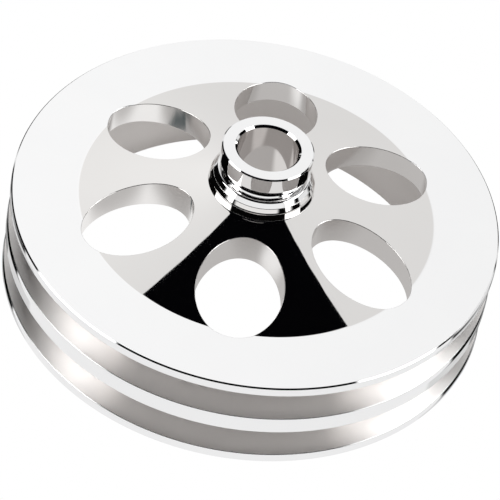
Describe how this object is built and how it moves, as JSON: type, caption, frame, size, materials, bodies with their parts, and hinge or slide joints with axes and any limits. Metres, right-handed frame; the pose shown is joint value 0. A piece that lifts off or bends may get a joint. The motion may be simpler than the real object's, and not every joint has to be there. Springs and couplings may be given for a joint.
{
  "type": "double-groove belt pulley",
  "caption": "Polished double-groove V-belt pulley with a conical web, oval lightening holes and a press-on hub whose nose has a puller groove.",
  "frame": {"origin": "on the shaft axis, in the plane of the rim's rear face, on which the part rests", "axes": "+Z along the shaft axis, towards the hub's nose; one lightening hole's centre lies on -Y"},
  "size_m": [0.1524, 0.1524, 0.0571],
  "materials": {
    "polished_aluminium": "mirror polished",
    "bright_steel": "bright plated"
  },
  "bodies": {
    "root": {"pulley_body": "polished_aluminium", "hub_insert": "bright_steel"}
  },
  "joints": []
}
